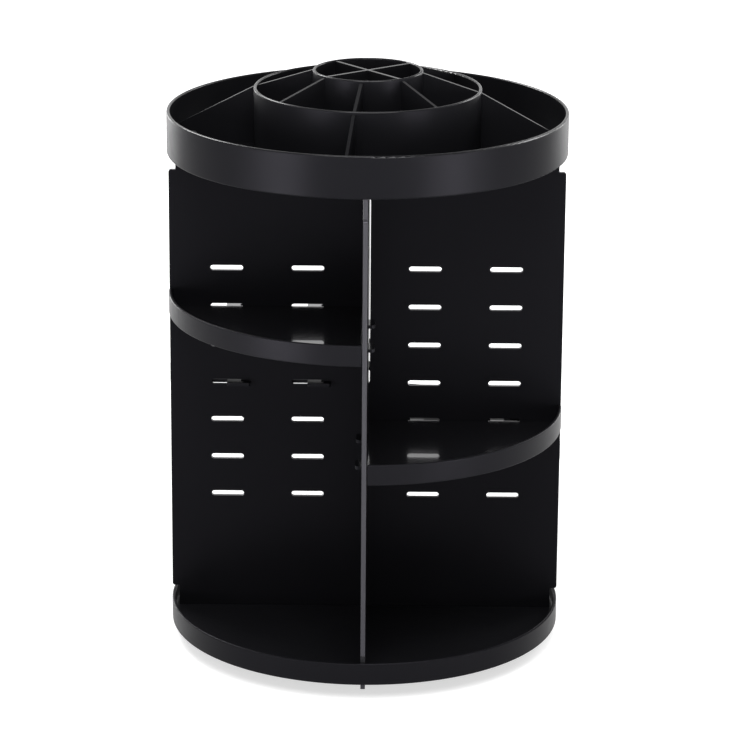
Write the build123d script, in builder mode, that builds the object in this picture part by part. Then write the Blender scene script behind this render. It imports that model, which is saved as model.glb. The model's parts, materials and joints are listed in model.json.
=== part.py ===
from build123d import *
import math
import os

# A rotating carousel for cosmetics: a base tray on a ball-bearing turntable, two slotted
# uprights halved into a cross, four quarter-round shelves hooked into them, and a cup tray on top.
# Millimetres, +Z up. The origin is on the table, on the axis that the carousel turns about.
# The front is -Y.

# ---------------------------------------------------------------- foot and turntable
pad_radius = 8.0
pad_height = 2.0
pad_recess = 0.8               # how deep a rubber pad sits in the foot plate
pad_inset = 12.0               # from the foot plate's edge to the middle of a pad
pad_fit = 0.2                  # gap round a pad in its recess
pad_edge_round = 0.5

foot_margin = 8.0              # foot plate past the turntable plate
foot_thickness = 3.0
foot_lip_height = 1.6          # stiffening lip round the foot plate's edge
foot_lip_width = 2.0

race_radius = 58.0             # circle that the balls run on
race_width = 8.0
race_height = 0.8              # raised track on either plate
race_gap = 2.0                 # between the two tracks
ball_radius = 2.0
ball_count = 18
groove_fit = 0.15              # gap between a ball and its groove

cage_thickness = 1.2

turntable_margin = 8.0         # turntable plate past the ball track
turntable_thickness = 2.0

bolt_radius = 3.0
bolt_fit = 0.05                # running clearance round the pivot bolt
bolt_head_radius = 6.0
bolt_head_height = 2.2
bolt_head_fit = 0.4
counterbore_depth = 1.6
hub_wall = 3.6                 # hub round the bolt head's counterbore
hub_height = 1.8               # raised hub on the foot plate
hub_gap = 0.2                  # running gap between the two hubs, and under the bolt's head
nut_recess_fit = 0.8           # round the washer
nut_recess_depth = 2.8
nut_across_flats = 10.0
nut_height = 1.7
washer_radius = 6.4
washer_thickness = 0.6
bolt_end_past_nut = 0.2

screw_circle_radius = 40.0
screw_count = 4
screw_turn = 45.0              # degrees that the screws stand off the panels
screw_radius = 1.45
screw_fit = 0.05
screw_hole_fit = 0.25          # round a screw in the turntable plate
screw_bite = 0.9               # into the base floor, past the boss
screw_head_radius = 2.8
screw_head_height = 1.4
cross_width = 0.8              # the cross drive in a screw's head
cross_length = 3.0
cross_depth = 0.8
boss_radius = 4.0
boss_height = 1.9

# ---------------------------------------------------------------- base tray
base_radius = 114.5
base_floor = 2.2
base_rim_wall = 2.0
base_rim_lip = 8.1             # rim above the floor
base_skirt = 2.2               # rim below the floor
rim_round = 0.8                # rounding of the base rim's and the shelf rims' top edges
base_fillet = 1.2              # between the floor and the rim

# ---------------------------------------------------------------- panels
panel_height = 279.4           # between the base floor and the top tray's floor
panel_thickness = 2.6
centre_gap = 0.9               # each side of an upright, in the other one's centre slot
centre_seat_gap = 0.2          # between the ends of the two centre slots, where the uprights cross
notch_fit = 2.0                # between the base rim's inside and the panel's foot
notch_height = 12.2            # corner notches that clear the base rim
panel_corner_round = 1.5

slot_length = 19.0
slot_height = 3.2
slot_rows = 7
slot_row_pitch = 23.05
slot_inner_column = 34.1       # from the axis to the inner column of slots
slot_column_pitch = 47.1

tab_inset = 2.5                # from the notch to a panel's outer tab
tab_width = 10.0
tab_length = 10.2              # past the floor that it goes through, from the panel's end
tab_round = 1.5
inner_tab_start = 14.0         # from the axis to a panel's inner tab
slit_fit = 0.25                # round a tab in its slit

# ---------------------------------------------------------------- shelves
shelf_overhang = 0.3           # past the outside of the base rim
shelf_floor = 2.0
shelf_rim_wall = 2.0
shelf_rim_height = 12.0        # overall
shelf_side_gap = 0.6           # between a shelf's straight side and the panel beside it
shelf_corner_round = 2.0
shelf_under_round = 0.6
shelf_seat_gap = 0.05          # between a shelf and the lower edge of its slots
hook_neck = 8.0
hook_overhang = 4.0            # past the slot's end, behind the panel
hook_head_gap = 0.4            # between the panel and the hook's head
hook_past = 4.0                # hooks and pegs stand this far past the panel
hook_round = 1.0
peg_end_gap = 1.9              # between a peg and the rounded end of its slot
peg_round = 2.0

# ---------------------------------------------------------------- top tray
tray_overhang = 0.7            # past the outside of the base rim
tray_floor = 2.0
tray_wall = 2.0
tray_wall_height = 24.2
tray_bottom_round = 0.8
middle_ring_radius = 65.3
middle_ring_height = 37.2
inner_ring_radius = 31.6
inner_ring_height = 47.4
ring_wall = 1.9
tray_rim_round = 0.9
rib_thickness = 1.8
rib_turn = -6.5                # degrees that the cup ribs stand off the panels
outer_rib_count = 4
outer_rib_drop = 1.5           # rib under the middle ring's top, where it leaves the ring
outer_rib_end_height = 10.4    # rib at the outer wall, above the tray's underside
middle_rib_count = 8
middle_rib_drop = 1.2          # rib under the inner ring's top, where it leaves the ring
middle_rib_end_drop = 1.0      # rib under the middle ring's top, where it ends
inner_rib_turn = 38.5
inner_rib_drop = 0.5
rib_bite = 0.8                 # how far a rib runs into the wall that it joins

# ---------------------------------------------------------------- heights, from the table up
foot_bottom = pad_height - pad_recess
foot_top = foot_bottom + foot_thickness
lower_track_top = foot_top + race_height
upper_track_bottom = lower_track_top + race_gap
ball_z = (lower_track_top + upper_track_bottom) / 2
turntable_bottom = upper_track_bottom + race_height
turntable_top = turntable_bottom + turntable_thickness
base_floor_bottom = turntable_top + boss_height
base_floor_top = base_floor_bottom + base_floor
tray_bottom = base_floor_top + panel_height
tray_floor_top = tray_bottom + tray_floor
panel_middle = (base_floor_top + tray_bottom) / 2

# ---------------------------------------------------------------- radii that follow from others
groove_radius = ball_radius + groove_fit
race_inner = race_radius - race_width / 2
race_outer = race_radius + race_width / 2
turntable_radius = race_outer + turntable_margin
foot_radius = turntable_radius + foot_margin
pad_offset = (foot_radius - pad_inset) / math.sqrt(2)
hub_radius = bolt_head_radius + bolt_head_fit + hub_wall
screw_length = turntable_thickness + boss_height + screw_bite
panel_outer_edge = base_radius
panel_foot_edge = base_radius - base_rim_wall - notch_fit
outer_tab_start = panel_foot_edge - tab_inset - tab_width
shelf_radius = base_radius + shelf_overhang
tray_radius = base_radius + tray_overhang
slot_radius = slot_height / 2
slot_columns = [slot_inner_column, slot_inner_column + slot_column_pitch]
peg_width = slot_length - 2 * slot_radius - 2 * peg_end_gap

os.makedirs("parts", exist_ok=True)


def save(part, name):
    part.label = name
    export_step(part, f"parts/{name}.step")


def upright_plane(angle):
    """Plane through the axis: its x runs outwards at this angle, its y runs up."""
    a = math.radians(angle)
    return Plane((0, 0, 0), x_dir=(math.cos(a), math.sin(a), 0), z_dir=(math.sin(a), -math.cos(a), 0))


def ring_section(inner, outer, bottom, top):
    """Adds a rectangle to the section being drawn, from radius and height."""
    with Locations((inner, bottom)):
        Rectangle(outer - inner, top - bottom, align=(Align.MIN, Align.MIN))


def tab_slits():
    """Adds, to the sketch being drawn, the slits that the panels' tabs go through."""
    for start in (inner_tab_start, outer_tab_start):
        with PolarLocations(start + tab_width / 2, 4):
            Rectangle(tab_width + 2 * slit_fit, panel_thickness + 2 * slit_fit)


def screw_places():
    """The places of the screws that hold the turntable plate to the base tray."""
    return PolarLocations(screw_circle_radius, screw_count, start_angle=screw_turn)


# ---------------------------------------------------------------- rubber pads
def make_pad(x, y, name):
    with BuildPart() as pad:
        with BuildSketch(Plane.XY):
            with Locations((x, y)):
                Circle(pad_radius)
        extrude(amount=pad_height)
        fillet(pad.edges().group_by(Axis.Z)[0], pad_edge_round)
    save(pad.part, name)


for end, y in (("front", -pad_offset), ("rear", pad_offset)):
    for side, x in (("left", -pad_offset), ("right", pad_offset)):
        make_pad(x, y, f"{end}_{side}_foot_pad")

# ---------------------------------------------------------------- foot plate
with BuildPart() as foot_plate:
    with BuildSketch(Plane.XZ):
        ring_section(0, foot_radius, foot_bottom, foot_top)
        ring_section(foot_radius - foot_lip_width, foot_radius, foot_top, foot_top + foot_lip_height)
        ring_section(race_inner, race_outer, foot_top, lower_track_top)
        ring_section(0, hub_radius, foot_top, foot_top + hub_height)
        with Locations((race_radius, ball_z)):
            Circle(groove_radius, mode=Mode.SUBTRACT)
    revolve(axis=Axis.Z)
    with BuildSketch(Plane.XY.offset(foot_bottom)):
        Circle(washer_radius + nut_recess_fit)
    extrude(amount=nut_recess_depth, mode=Mode.SUBTRACT)
    with BuildSketch(Plane.XY.offset(foot_bottom)):
        Circle(bolt_radius + bolt_fit)
    extrude(amount=foot_thickness + hub_height, mode=Mode.SUBTRACT)
    with BuildSketch(Plane.XY.offset(foot_bottom)):
        with GridLocations(2 * pad_offset, 2 * pad_offset, 2, 2):
            Circle(pad_radius + pad_fit)
    extrude(amount=pad_recess, mode=Mode.SUBTRACT)
save(foot_plate.part, "foot_plate")

# ---------------------------------------------------------------- balls and their cage
with BuildPart() as bearing_balls:
    with BuildSketch(Plane.XZ):
        with Locations((race_radius, ball_z)):
            Circle(ball_radius)
            Rectangle(ball_radius, 2 * ball_radius, align=(Align.MAX, Align.CENTER), mode=Mode.SUBTRACT)
    revolve(axis=Axis((race_radius, 0, ball_z), (0, 0, 1)))
    ball = bearing_balls.part
    with Locations(*[Rotation(0, 0, 360 * i / ball_count) for i in range(1, ball_count)]):
        add(ball)
save(bearing_balls.part, "bearing_balls")

with BuildPart() as bearing_cage:
    with BuildSketch(Plane.XY.offset(ball_z - cage_thickness / 2)):
        Circle(race_outer)
        Circle(race_inner, mode=Mode.SUBTRACT)
        with PolarLocations(race_radius, ball_count):
            Circle(groove_radius, mode=Mode.SUBTRACT)
    extrude(amount=cage_thickness)
save(bearing_cage.part, "bearing_cage")

# ---------------------------------------------------------------- turntable plate
upper_hub_bottom = foot_top + hub_height + hub_gap
with BuildPart() as turntable_plate:
    with BuildSketch(Plane.XZ):
        ring_section(0, turntable_radius, turntable_bottom, turntable_top)
        ring_section(race_inner, race_outer, upper_track_bottom, turntable_bottom)
        ring_section(0, hub_radius, upper_hub_bottom, turntable_bottom)
        with Locations((race_radius, ball_z)):
            Circle(groove_radius, mode=Mode.SUBTRACT)
    revolve(axis=Axis.Z)
    with BuildSketch(Plane.XY.offset(upper_hub_bottom)):
        Circle(bolt_radius + bolt_fit)
    extrude(amount=turntable_top - upper_hub_bottom, mode=Mode.SUBTRACT)
    with BuildSketch(Plane.XY.offset(turntable_top)):
        Circle(bolt_head_radius + bolt_head_fit)
    extrude(amount=-counterbore_depth, mode=Mode.SUBTRACT)
    with BuildSketch(Plane.XY.offset(turntable_bottom)):
        with screw_places():
            Circle(screw_radius + screw_hole_fit)
    extrude(amount=turntable_thickness, mode=Mode.SUBTRACT)
save(turntable_plate.part, "turntable_plate")

# ---------------------------------------------------------------- pivot bolt, washer, nut
bolt_head_bottom = turntable_top - counterbore_depth + hub_gap
washer_top = foot_bottom + nut_recess_depth
nut_top = washer_top - washer_thickness
nut_bottom = nut_top - nut_height
with BuildPart() as pivot_bolt:
    with BuildSketch(Plane.XY.offset(bolt_head_bottom)):
        Circle(bolt_head_radius)
    extrude(amount=bolt_head_height)
    fillet(pivot_bolt.edges().group_by(Axis.Z)[-1], bolt_head_height / 3)
    with BuildSketch(Plane.XY.offset(nut_bottom - bolt_end_past_nut)):
        Circle(bolt_radius)
    extrude(amount=bolt_head_bottom - nut_bottom + bolt_end_past_nut)
save(pivot_bolt.part, "pivot_bolt")

with BuildPart() as pivot_washer:
    with BuildSketch(Plane.XY.offset(nut_top)):
        Circle(washer_radius)
        Circle(bolt_radius + bolt_fit, mode=Mode.SUBTRACT)
    extrude(amount=washer_thickness)
save(pivot_washer.part, "pivot_washer")

with BuildPart() as pivot_nut:
    with BuildSketch(Plane.XY.offset(nut_bottom)):
        RegularPolygon(nut_across_flats / 2, 6, major_radius=False)
        Circle(bolt_radius + bolt_fit, mode=Mode.SUBTRACT)
    extrude(amount=nut_height)
save(pivot_nut.part, "pivot_nut")

# ---------------------------------------------------------------- screws under the base tray
with BuildPart() as plate_screws:
    with BuildSketch(Plane.XY.offset(turntable_bottom)):
        with screw_places():
            Circle(screw_radius)
    extrude(amount=screw_length)
    with BuildSketch(Plane.XY.offset(turntable_bottom - screw_head_height)):
        with screw_places():
            Circle(screw_head_radius)
    extrude(amount=screw_head_height)
    with BuildSketch(Plane.XY.offset(turntable_bottom - screw_head_height)):
        with screw_places():
            Rectangle(cross_length, cross_width)
            Rectangle(cross_width, cross_length)
    extrude(amount=cross_depth, mode=Mode.SUBTRACT)
save(plate_screws.part, "plate_screws")

# ---------------------------------------------------------------- base tray
base_rim_bottom = base_floor_bottom - base_skirt
base_rim_top = base_floor_top + base_rim_lip
with BuildPart() as base_tray:
    with BuildSketch(Plane.XZ) as base_section:
        ring_section(0, base_radius, base_floor_bottom, base_floor_top)
        ring_section(base_radius - base_rim_wall, base_radius, base_rim_bottom, base_rim_top)
        fillet(base_section.vertices().group_by(Axis.Y)[-1], rim_round)
        rim_foot = base_section.vertices().sort_by_distance((base_radius - base_rim_wall, base_floor_top))[0]
        fillet(rim_foot, base_fillet)
    revolve(axis=Axis.Z)
    with BuildSketch(Plane.XY.offset(turntable_top)):
        with screw_places():
            Circle(boss_radius)
    extrude(amount=boss_height)
    with BuildSketch(Plane.XY.offset(turntable_top)):
        with screw_places():
            Circle(screw_radius + screw_fit)
    extrude(amount=screw_length - turntable_thickness + screw_fit, mode=Mode.SUBTRACT)
    with BuildSketch(Plane.XY.offset(base_floor_bottom)):
        tab_slits()
    extrude(amount=base_floor, mode=Mode.SUBTRACT)
save(base_tray.part, "base_tray")


# ---------------------------------------------------------------- uprights
def make_upright(angle, slot_end, name):
    """A full-width panel, halved at its centre: the same moulding twice, one of them turned over.

    slot_end is 1 where the centre slot opens at the top, and -1 where it opens at the bottom.
    """
    body_height = panel_height - 2 * notch_height
    columns_middle = (slot_columns[0] + slot_columns[-1]) / 2
    with BuildPart() as upright:
        with BuildSketch(upright_plane(angle)) as outline:
            with Locations((0, panel_middle)):
                Rectangle(2 * panel_outer_edge, body_height)
            fillet(outline.vertices(), panel_corner_round)
            with Locations((0, panel_middle)):
                Rectangle(2 * panel_foot_edge, panel_height)
            for side in (-1, 1):
                with Locations((side * (outer_tab_start + tab_width / 2), panel_middle)):
                    RectangleRounded(tab_width, panel_height + 2 * tab_length, tab_round)
                with Locations((side * (inner_tab_start + tab_width / 2), base_floor_bottom)):
                    Rectangle(tab_width, tray_floor_top - base_floor_bottom, align=(Align.CENTER, Align.MIN))
                with Locations((side * columns_middle, panel_middle)):
                    with GridLocations(slot_column_pitch, slot_row_pitch, len(slot_columns), slot_rows):
                        SlotOverall(slot_length, slot_height, mode=Mode.SUBTRACT)
            with Locations((0, panel_middle + slot_end * (panel_height - centre_seat_gap) / 2)):
                Rectangle(panel_thickness + 2 * centre_gap, panel_height, mode=Mode.SUBTRACT)
        extrude(amount=panel_thickness / 2, both=True)
    save(upright.part, name)


make_upright(0, 1, "wide_panel")
make_upright(90, -1, "divider_panel")


# ---------------------------------------------------------------- shelves
def row_z(row):
    """Middle height of a row of slots. Row 1 is the top one."""
    return panel_middle + ((slot_rows + 1) / 2 - row) * slot_row_pitch


def make_shelf(side, end, row, name):
    """A quarter-round shelf. side is -1 left or 1 right, end is -1 front or 1 rear.

    Its hooks go through the left or right panel, and its pegs through the divider.
    """
    face = panel_thickness / 2
    near = face + shelf_side_gap
    far = face + hook_past
    bottom = row_z(row) - slot_radius + shelf_seat_gap
    reach = shelf_radius - near
    middle = near + reach / 2

    def block(x0, x1, y0, y1):
        with Locations((side * (x0 + x1) / 2, end * (y0 + y1) / 2)):
            Rectangle(x1 - x0, y1 - y0)

    with BuildPart() as shelf:
        with BuildSketch(Plane.XY.offset(bottom)) as plate:
            Circle(shelf_radius)
            with Locations((side * middle, end * middle)):
                Rectangle(reach, reach, mode=Mode.INTERSECT)
            fillet(plate.vertices().sort_by_distance((0, 0))[0], shelf_corner_round)
        extrude(amount=shelf_floor)
        with BuildSketch(Plane.XY.offset(bottom)):
            Circle(shelf_radius)
            Circle(shelf_radius - shelf_rim_wall, mode=Mode.SUBTRACT)
            with Locations((side * middle, end * middle)):
                Rectangle(reach, reach, mode=Mode.INTERSECT)
        extrude(amount=shelf_rim_height)
        arcs = shelf.edges().filter_by(GeomType.CIRCLE).filter_by(lambda e: e.radius > shelf_radius / 2)
        fillet(arcs.group_by(Axis.Z)[-1], rim_round)
        arcs = shelf.edges().filter_by(GeomType.CIRCLE).filter_by(lambda e: e.radius > shelf_radius / 2)
        fillet(arcs.group_by(Axis.Z)[0], shelf_under_round)
        for column in slot_columns:
            neck = column - slot_length / 2 + slot_radius
            head = column - slot_length / 2 - hook_overhang
            with BuildSketch(Plane.XY.offset(bottom)) as hook:
                block(neck, neck + hook_neck, -far, near + shelf_corner_round)
                block(head, neck + hook_neck, -far, -face - hook_head_gap)
                tips = hook.vertices().group_by(Axis.Y)[0 if end > 0 else -1]
                fillet(tips, hook_round)
            extrude(amount=shelf_floor)
            with BuildSketch(Plane.XY.offset(bottom)) as peg:
                block(-far, near + shelf_corner_round, column - peg_width / 2, column + peg_width / 2)
                tips = peg.vertices().group_by(Axis.X)[0 if side > 0 else -1]
                fillet(tips, peg_round)
            extrude(amount=shelf_floor)
    save(shelf.part, name)


make_shelf(-1, -1, 2, "front_left_shelf")
make_shelf(-1, 1, 4, "rear_left_shelf")
make_shelf(1, -1, 5, "front_right_shelf")
make_shelf(1, 1, 6, "rear_right_shelf")

# ---------------------------------------------------------------- top tray
tray_wall_top = tray_bottom + tray_wall_height
middle_ring_top = tray_bottom + middle_ring_height
inner_ring_top = tray_bottom + inner_ring_height


def rounded_wall(radius, wall, top):
    """A round wall that stands on the tray's floor, with a rounded rim."""
    with BuildSketch(Plane.XZ) as section:
        ring_section(radius - wall, radius, tray_bottom, top)
        fillet(section.vertices().group_by(Axis.Y)[-1], tray_rim_round)
    revolve(section.sketch, axis=Axis.Z)


def cup_rib(angle, inner, outer, inner_top, outer_top):
    """A radial rib with a straight top edge, from one wall to the next."""
    start = inner - rib_bite
    end = outer + rib_bite
    slope = (outer_top - inner_top) / (outer - inner)
    with BuildSketch(upright_plane(angle)) as outline:
        with BuildLine():
            Polyline((start, tray_bottom), (end, tray_bottom), (end, outer_top + slope * rib_bite),
                     (start, inner_top - slope * rib_bite), close=True)
        make_face()
    extrude(outline.sketch, amount=rib_thickness / 2, both=True)


with BuildPart() as top_tray:
    with BuildSketch(Plane.XY.offset(tray_bottom)):
        Circle(tray_radius)
    extrude(amount=tray_floor)
    fillet(top_tray.edges().group_by(Axis.Z)[0], tray_bottom_round)
    with BuildSketch(Plane.XZ) as wall_section:
        ring_section(tray_radius - tray_wall, tray_radius, tray_bottom + tray_bottom_round, tray_wall_top)
        fillet(wall_section.vertices().group_by(Axis.Y)[-1], tray_rim_round)
    revolve(axis=Axis.Z)
    rounded_wall(middle_ring_radius, ring_wall, middle_ring_top)
    rounded_wall(inner_ring_radius, ring_wall, inner_ring_top)
    for i in range(outer_rib_count):
        cup_rib(rib_turn + 360 * i / outer_rib_count, middle_ring_radius, tray_radius - tray_wall,
                middle_ring_top - outer_rib_drop, tray_bottom + outer_rib_end_height)
    for i in range(middle_rib_count):
        cup_rib(rib_turn + 360 * i / middle_rib_count, inner_ring_radius, middle_ring_radius - ring_wall,
                inner_ring_top - middle_rib_drop, middle_ring_top - middle_rib_end_drop)
    for angle in (inner_rib_turn, inner_rib_turn + 90):
        with BuildSketch(Plane.XY.offset(tray_bottom)):
            Rectangle(2 * (inner_ring_radius - ring_wall + rib_bite), rib_thickness, rotation=angle)
        extrude(amount=inner_ring_height - inner_rib_drop)
    with BuildSketch(Plane.XY.offset(tray_bottom)):
        tab_slits()
    extrude(amount=tray_floor, mode=Mode.SUBTRACT)
save(top_tray.part, "top_tray")
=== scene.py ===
import json
import math

import bmesh
import bpy
from mathutils import Matrix, Vector


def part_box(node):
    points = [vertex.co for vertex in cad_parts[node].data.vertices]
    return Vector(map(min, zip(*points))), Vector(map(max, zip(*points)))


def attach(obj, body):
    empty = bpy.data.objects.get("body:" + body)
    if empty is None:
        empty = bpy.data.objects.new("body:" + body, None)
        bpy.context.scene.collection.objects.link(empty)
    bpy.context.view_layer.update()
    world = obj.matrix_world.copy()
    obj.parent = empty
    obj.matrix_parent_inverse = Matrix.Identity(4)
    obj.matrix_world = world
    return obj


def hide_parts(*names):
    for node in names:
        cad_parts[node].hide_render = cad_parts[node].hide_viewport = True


# A rotating carousel for cosmetics in black moulded plastic, on a plain white floor.
# Metres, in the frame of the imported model: +Z up, the front is -Y.

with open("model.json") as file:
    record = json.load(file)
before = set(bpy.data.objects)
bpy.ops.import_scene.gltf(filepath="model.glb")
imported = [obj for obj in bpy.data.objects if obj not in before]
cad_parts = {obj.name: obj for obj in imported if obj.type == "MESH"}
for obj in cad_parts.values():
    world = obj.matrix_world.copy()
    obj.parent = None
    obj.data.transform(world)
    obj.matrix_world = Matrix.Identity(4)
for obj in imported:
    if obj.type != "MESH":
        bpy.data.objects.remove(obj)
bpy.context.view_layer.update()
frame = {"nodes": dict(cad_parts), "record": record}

MM = 0.001


# ---------------------------------------------------------------- colour and nodes
def linear(hex_colour):
    """An sRGB hex colour as linear RGBA."""
    values = [int(hex_colour[i:i + 2], 16) / 255 for i in (1, 3, 5)]
    return [v / 12.92 if v <= 0.04045 else ((v + 0.055) / 1.055) ** 2.4 for v in values] + [1.0]


def add_node(tree, kind, settings=None, inputs=None):
    """Adds a node, with its settings and with values or links for its sockets."""
    made = tree.nodes.new(kind)
    for name, value in (settings or {}).items():
        setattr(made, name, value)
    for name, value in (inputs or {}).items():
        if isinstance(value, bpy.types.NodeSocket):
            tree.links.new(value, made.inputs[name])
        else:
            made.inputs[name].default_value = value
    return made


def new_material(name, **sockets):
    """A material with its shader's even values, and the object coordinates for its patterns."""
    material = bpy.data.materials.new(name)
    material.use_nodes = True
    tree = material.node_tree
    shader = tree.nodes["Principled BSDF"]
    for socket, value in sockets.items():
        shader.inputs[socket.replace("_", " ")].default_value = value
    place = add_node(tree, "ShaderNodeTexCoord").outputs["Object"]
    return material, tree, shader, place


# ---------------------------------------------------------------- materials
def moulded_black(name, colour, pale, rough, level, grain, depth, flow, coat=(0.0, 0.02), rubbed_over=None):
    """Black moulded plastic. rough is its least and most roughness, grain, depth and flow are in mm.

    coat is the weight and roughness of a gloss on top. Where rubbed_over gives a height in metres,
    only the faces over it that look up have that gloss, as hands rub it onto rims and rib tops.
    """
    material, tree, shader, place = new_material(
        name, IOR=1.53, Specular_IOR_Level=level, Specular_Tint=linear("#f2edff"),
        Coat_Weight=coat[0], Coat_Roughness=coat[1])
    streaks = add_node(tree, "ShaderNodeMapping", inputs={"Vector": place, "Scale": (1, 1, 0.35)})
    flow_lines = add_node(tree, "ShaderNodeTexNoise", inputs={
        "Vector": streaks.outputs[0], "Scale": 1 / (flow * MM), "Detail": 4, "Roughness": 0.55})
    handling = add_node(tree, "ShaderNodeTexNoise", inputs={
        "Vector": place, "Scale": 1 / (0.2 * flow * MM), "Detail": 6, "Roughness": 0.7, "Distortion": 0.6})
    pebble = add_node(tree, "ShaderNodeTexNoise", inputs={
        "Vector": place, "Scale": 1 / (grain * MM), "Detail": 2, "Roughness": 0.5})
    mixed = add_node(tree, "ShaderNodeMix", {"data_type": "RGBA"}, {
        "Factor": flow_lines.outputs[0], "A": linear(colour), "B": linear(pale)})
    tree.links.new(mixed.outputs["Result"], shader.inputs["Base Color"])
    smudge = add_node(tree, "ShaderNodeMath", {"operation": "MULTIPLY"}, {
        0: flow_lines.outputs[0], 1: handling.outputs[0]})
    spread = add_node(tree, "ShaderNodeMapRange", inputs={
        "Value": smudge.outputs[0], "From Min": 0.12, "From Max": 0.42,
        "To Min": rough[0], "To Max": rough[1]})
    tree.links.new(spread.outputs[0], shader.inputs["Roughness"])
    bump = add_node(tree, "ShaderNodeBump", inputs={
        "Height": pebble.outputs[0], "Strength": 0.5, "Distance": depth * MM})
    tree.links.new(bump.outputs[0], shader.inputs["Normal"])
    if rubbed_over is not None:
        normal = add_node(tree, "ShaderNodeNewGeometry").outputs["Normal"]
        facing = add_node(tree, "ShaderNodeSeparateXYZ", inputs={0: normal})
        spot = add_node(tree, "ShaderNodeSeparateXYZ", inputs={0: place})
        over = add_node(tree, "ShaderNodeMath", {"operation": "GREATER_THAN"}, {
            0: spot.outputs["Z"], 1: rubbed_over})
        worn = add_node(tree, "ShaderNodeMapRange", inputs={
            "Value": facing.outputs["Z"], "From Min": 0.3, "From Max": 0.7, "To Max": coat[0]})
        gloss = add_node(tree, "ShaderNodeMath", {"operation": "MULTIPLY"}, {
            0: over.outputs[0], 1: worn.outputs[0]})
        tree.links.new(gloss.outputs[0], shader.inputs["Coat Weight"])
    return material


# Satin ABS from a spark-eroded mould: the fine pebble spreads each highlight into a soft glow and
# leaves the flats nearly black. The real grain is 0.2 mm, drawn at 0.7 mm so that it can show.
satin_abs = moulded_black("satin_moulded_ABS", "#0f0f11", "#151517", (0.32, 0.41), 0.06,
                          grain=0.7, depth=0.02, flow=45)

# The same ABS on the top tray, where hands have rubbed the rims and rib tops to a gloss: they catch
# the light as thin bright lines.
rubbed_abs = moulded_black("satin_moulded_ABS_rubbed_rims", "#0f0f11", "#151517", (0.32, 0.41), 0.035,
                           grain=0.7, depth=0.02, flow=45, coat=(0.7, 0.2),
                           rubbed_over=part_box("top_tray")[0][2] + 5 * MM)

# ABS from the polished face of a mould, for the floors of the shelves: it mirrors the slots behind
# it, sharp and bright, with a faint haze round each from the wider gloss underneath.
polished_abs = moulded_black("polished_moulded_ABS", "#0d0d0f", "#121213", (0.13, 0.17), 0.5,
                             grain=0.9, depth=0.0005, flow=50, coat=(1.0, 0.02))

# Polystyrene from a smoother mould, for the flat panels: a little glossier, with long faint flow
# marks from the gate. The grain is drawn at 0.9 mm.
smooth_polystyrene = moulded_black("smooth_moulded_polystyrene", "#0c0c0e", "#101012", (0.28, 0.40), 0.04,
                                   grain=0.9, depth=0.008, flow=60)

# The same polystyrene on the panels' edges and round their slots: glossier, and paler as a painted highlight
# of the light falling on the edges.
edge_highlight_polystyrene = moulded_black("polystyrene_edges_painted_highlight", "#2a2a2c", "#353537", (0.30, 0.40), 0.35,
                                   grain=0.9, depth=0.004, flow=12)

# Polypropylene with a coarse matt mould texture, on the parts that nobody sees.
matt_polypropylene = moulded_black("matt_moulded_polypropylene", "#1a1a1c", "#222224", (0.5, 0.66), 0.4,
                                   grain=1.2, depth=0.03, flow=30)

# Moulded rubber: dull, a little dusty, with a coarse skin.
foot_rubber = moulded_black("moulded_rubber", "#2b2b2b", "#363534", (0.72, 0.9), 0.35,
                            grain=0.9, depth=0.05, flow=8)

# Natural nylon, moulded: milky, lets some light into itself, and cloudy from the cooling.
nylon, nylon_tree, nylon_shader, nylon_place = new_material(
    "natural_moulded_nylon", IOR=1.53, Subsurface_Weight=0.25, Subsurface_Scale=0.002)
cloud = add_node(nylon_tree, "ShaderNodeTexNoise", inputs={
    "Vector": nylon_place, "Scale": 1 / (6 * MM), "Detail": 3})
milk = add_node(nylon_tree, "ShaderNodeMix", {"data_type": "RGBA"}, {
    "Factor": cloud.outputs[0], "A": linear("#e6e1d3"), "B": linear("#d9d2c0")})
nylon_tree.links.new(milk.outputs["Result"], nylon_shader.inputs["Base Color"])
cloud_rough = add_node(nylon_tree, "ShaderNodeMapRange", inputs={
    "Value": cloud.outputs[0], "To Min": 0.38, "To Max": 0.52})
nylon_tree.links.new(cloud_rough.outputs[0], nylon_shader.inputs["Roughness"])


def bare_metal(name, colour, stain, rough, grain, depth):
    """Metal with a fine surface pattern. grain and depth are in mm."""
    material, tree, shader, place = new_material(name, Metallic=1.0)
    marks = add_node(tree, "ShaderNodeTexNoise", inputs={
        "Vector": place, "Scale": 1 / (grain * MM), "Detail": 5, "Roughness": 0.65})
    tone = add_node(tree, "ShaderNodeMix", {"data_type": "RGBA"}, {
        "Factor": marks.outputs[0], "A": linear(colour), "B": linear(stain)})
    tree.links.new(tone.outputs["Result"], shader.inputs["Base Color"])
    spread = add_node(tree, "ShaderNodeMapRange", inputs={
        "Value": marks.outputs[0], "From Min": 0.3, "From Max": 0.7, "To Min": rough[0], "To Max": rough[1]})
    tree.links.new(spread.outputs[0], shader.inputs["Roughness"])
    bump = add_node(tree, "ShaderNodeBump", inputs={
        "Height": marks.outputs[0], "Strength": 0.4, "Distance": depth * MM})
    tree.links.new(bump.outputs[0], shader.inputs["Normal"])
    return material


# Ground and polished bearing steel: a clean mirror with a trace of rolling marks.
bearing_steel = bare_metal("ground_bearing_steel", "#c9cacc", "#bfc0c3", (0.05, 0.12), 0.5, 0.0005)

# Zinc plate on steel: bright, slightly blue and cloudy, duller than the balls.
zinc_plate = bare_metal("bright_zinc_plated_steel", "#c3c7cc", "#aeb3b9", (0.22, 0.36), 1.5, 0.003)

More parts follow.
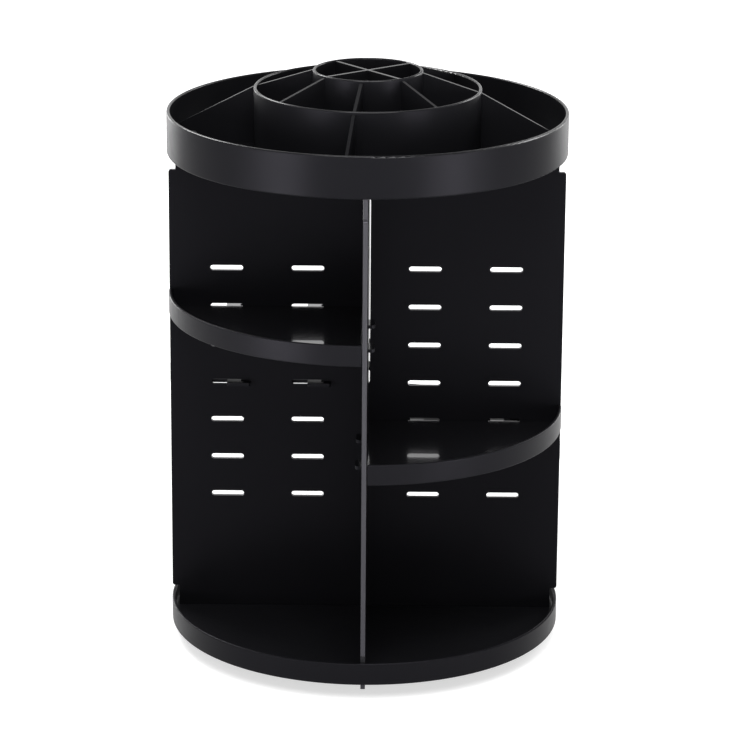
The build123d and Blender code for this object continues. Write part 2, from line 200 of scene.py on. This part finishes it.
finishes = {
    "black_tray_plastic": satin_abs,
    "black_panel_plastic": smooth_polystyrene,
    "black_shelf_plastic": satin_abs,
    "black_foot_plastic": matt_polypropylene,
    "foot_rubber": foot_rubber,
    "natural_nylon": nylon,
    "bearing_steel": bearing_steel,
    "zinc_plated_steel": zinc_plate,
}
slot_of = {part["node"]: part["material_slot"] for part in frame["record"]["subparts"]}
body_of = {name: body for body, names in frame["record"]["behaviour"]["bodies"].items() for name in names}
for name, piece in frame["nodes"].items():
    piece.data.materials.clear()
    piece.data.materials.append(rubbed_abs if name == "top_tray" else finishes[slot_of[name]])


# ---------------------------------------------------------------- eased copies of the moulded pieces
edge_round = 0.35 * MM


def eased(name, accent=None, belongs=None, cut=None):
    """A node's shape with its sharp outside edges rounded, as they leave the mould.

    accent is a second finish, for the faces that belongs picks. cut is the place along Y where the
    faces are split first.
    """
    shape = bmesh.new()
    shape.from_mesh(frame["nodes"][name].data)
    bmesh.ops.remove_doubles(shape, verts=shape.verts, dist=0.002 * MM)
    bmesh.ops.dissolve_limit(shape, angle_limit=math.radians(0.5), verts=shape.verts, edges=shape.edges)
    sharp = [e for e in shape.edges
             if e.is_manifold and e.is_convex and e.calc_face_angle() > math.radians(50)]
    bmesh.ops.bevel(shape, geom=sharp, offset=edge_round, offset_type="OFFSET", segments=3, profile=0.5,
                    affect="EDGES", clamp_overlap=True, material=-1)
    if cut is not None:
        whole = shape.verts[:] + shape.edges[:] + shape.faces[:]
        bmesh.ops.bisect_plane(shape, geom=whole, dist=0.001 * MM, plane_co=(0, cut, 0), plane_no=(0, 1, 0))
    mesh = bpy.data.meshes.new(f"{name}_eased")
    mesh.materials.append(finishes[slot_of[name]])
    if accent:
        mesh.materials.append(accent)
        for face in shape.faces:
            face.material_index = int(belongs(face))
    shape.to_mesh(mesh)
    shape.free()
    mesh.shade_smooth()
    mesh.set_sharp_from_angle(angle=math.radians(40))
    piece = bpy.data.objects.new(f"{name}_eased", mesh)
    bpy.context.scene.collection.objects.link(piece)
    piece.modifiers.new("even_faces", "WEIGHTED_NORMAL").keep_sharp = True
    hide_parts(name)
    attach(piece, body_of[name])


def narrow(name):
    """Picks the edge faces of a flat panel."""
    low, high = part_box(name)
    thin = min(range(3), key=lambda axis: high[axis] - low[axis])
    return lambda face: abs(face.normal[thin]) < 0.6


def wide_floor(face):
    """Picks the floor that things stand on."""
    return face.normal.z > 0.99 and face.calc_area() > 2000 * MM ** 2


# The panels' edge faces take the paler polystyrene, a painted highlight on the edges.
for panel in ("wide_panel", "divider_panel"):
    eased(panel, edge_highlight_polystyrene, narrow(panel))

# The front shelves have mirror floors. On the right one the floor is split at the wide panel's face,
# so that the hooks past it stay satin, and dark in their slots. The rear shelves are satin all over.
eased("front_left_shelf", polished_abs, wide_floor)
eased("front_right_shelf", polished_abs, wide_floor, cut=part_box("wide_panel")[0][1])
eased("rear_left_shelf")
eased("rear_right_shelf")


# ---------------------------------------------------------------- floor, light and camera
floor_mesh = bpy.data.meshes.new("studio_floor")
floor_shape = bmesh.new()
bmesh.ops.create_grid(floor_shape, x_segments=1, y_segments=1, size=6.0)
floor_shape.to_mesh(floor_mesh)
floor_shape.free()
studio_floor = bpy.data.objects.new("studio_floor", floor_mesh)
bpy.context.scene.collection.objects.link(studio_floor)

# White paper: rays from the camera and from gloss see it glow as the white background does. The
# glow is weaker near the middle, where the lamps' light on the paper keeps the object's shadow.
paper, paper_tree, paper_shader, paper_place = new_material(
    "white_paper_floor", Roughness=0.9, Specular_IOR_Level=0.1,
    Base_Color=linear("#c4c4c4"), Emission_Color=linear("#ffffff"))
ray = add_node(paper_tree, "ShaderNodeLightPath")
seen = add_node(paper_tree, "ShaderNodeMath", {"operation": "MAXIMUM"}, {
    0: ray.outputs["Is Camera Ray"], 1: ray.outputs["Is Glossy Ray"]})
seen_or_through = add_node(paper_tree, "ShaderNodeMath", {"operation": "MAXIMUM"}, {
    0: seen.outputs[0], 1: ray.outputs["Is Transmission Ray"]})
from_middle = add_node(paper_tree, "ShaderNodeVectorMath", {"operation": "LENGTH"}, {0: paper_place})
glow = add_node(paper_tree, "ShaderNodeMapRange", inputs={
    "Value": from_middle.outputs["Value"], "From Min": 0.25, "From Max": 1.3, "To Min": 0.62, "To Max": 1.0})
paper_glow = add_node(paper_tree, "ShaderNodeMath", {"operation": "MULTIPLY"}, {
    0: seen_or_through.outputs[0], 1: glow.outputs[0]})
paper_tree.links.new(paper_glow.outputs[0], paper_shader.inputs["Emission Strength"])
floor_mesh.materials.append(paper)

# A white sweep all round, up to about 20 degrees, under a dimmer ceiling.
world = bpy.data.worlds.new("white_studio")
world.use_nodes = True
bpy.context.scene.world = world
sky = world.node_tree
sky_ray = add_node(sky, "ShaderNodeLightPath")
sky_seen = add_node(sky, "ShaderNodeMath", {"operation": "MAXIMUM"}, {
    0: sky_ray.outputs["Is Camera Ray"], 1: sky_ray.outputs["Is Glossy Ray"]})
sky_seen_or_through = add_node(sky, "ShaderNodeMath", {"operation": "MAXIMUM"}, {
    0: sky_seen.outputs[0], 1: sky_ray.outputs["Is Transmission Ray"]})
sky_place = add_node(sky, "ShaderNodeTexCoord").outputs["Generated"]
sky_height = add_node(sky, "ShaderNodeSeparateXYZ", inputs={0: sky_place})
dome = add_node(sky, "ShaderNodeMapRange", inputs={
    "Value": sky_height.outputs["Z"], "From Min": 0.3, "From Max": 0.75, "To Min": 1.0, "To Max": 0.18})
sky_strength = add_node(sky, "ShaderNodeMapRange", inputs={
    "Value": sky_seen_or_through.outputs[0], "To Min": 0.6, "To Max": dome.outputs[0]})
sky.nodes["Background"].inputs["Color"].default_value = linear("#ffffff")
sky.links.new(sky_strength.outputs[0], sky.nodes["Background"].inputs["Strength"])


def softbox(name, place, width, height, watts, aim_height=0.2, spread=180):
    """A rectangular soft lamp at a place, turned to the object's axis. spread is in degrees."""
    lamp = bpy.data.lights.new(name, "AREA")
    lamp.spread = math.radians(spread)
    lamp.shape = "RECTANGLE"
    lamp.size = width
    lamp.size_y = height
    lamp.energy = watts
    holder = bpy.data.objects.new(name, lamp)
    holder.visible_camera = False
    bpy.context.scene.collection.objects.link(holder)
    away = (Vector(place) - Vector((0, 0, aim_height))).normalized()
    holder.matrix_world = Matrix.Translation(place) @ away.to_track_quat("Z", "Y").to_matrix().to_4x4()


# Behind, high: thin bright lines on the rims.
softbox("left_rim_light", (-0.67, 0.74, 1.04), 0.45, 0.45, 9)
softbox("right_rim_light", (0.8, 0.6, 0.68), 0.4, 0.4, 4)
for side, hand, edge_watts in ((-1, "left", 5.5), (1, "right", 3.8)):
    # In front: a soft spot of light on each ring. A grid keeps this light off the shelf floors,
    # which would mirror it as bright as the background.
    softbox(f"{hand}_softbox", (side * 0.62, -0.56, 0.27), 0.4, 0.5, 0.85, aim_height=0.39, spread=44)
    # Behind, low: bright ends on the tray's outer wall, which keeps this light off the rings.
    softbox(f"{hand}_edge_light", (side * 0.9, 1.2, 0.2), 0.5, 0.36, edge_watts)
# In front and above: the even light on the floors and inside the cups.
softbox("overhead_softbox", (0, -0.9, 1.5), 1.2, 1.2, 23)

# The camera stands 1.93 m in front, looks 17 degrees down and is turned a trace to the left.
photo_width_px = 739
focal_px = 3453.5
camera_place = (13.0 * MM, -1931.6 * MM, 761.1 * MM)
pitch = 17.226
yaw = 0.325
tilt = 0.402
camera_data = bpy.data.cameras.new("camera")
camera_data.sensor_width = 36
camera_data.lens = focal_px * camera_data.sensor_width / photo_width_px
camera = bpy.data.objects.new("camera", camera_data)
bpy.context.scene.collection.objects.link(camera)
camera.matrix_world = (Matrix.Translation(camera_place)
                       @ Matrix.Rotation(math.radians(yaw), 4, "Z")
                       @ Matrix.Rotation(math.radians(90 - pitch), 4, "X")
                       @ Matrix.Rotation(math.radians(tilt), 4, "Z"))
bpy.context.scene.camera = camera
bpy.context.scene.view_settings.view_transform = "Standard"
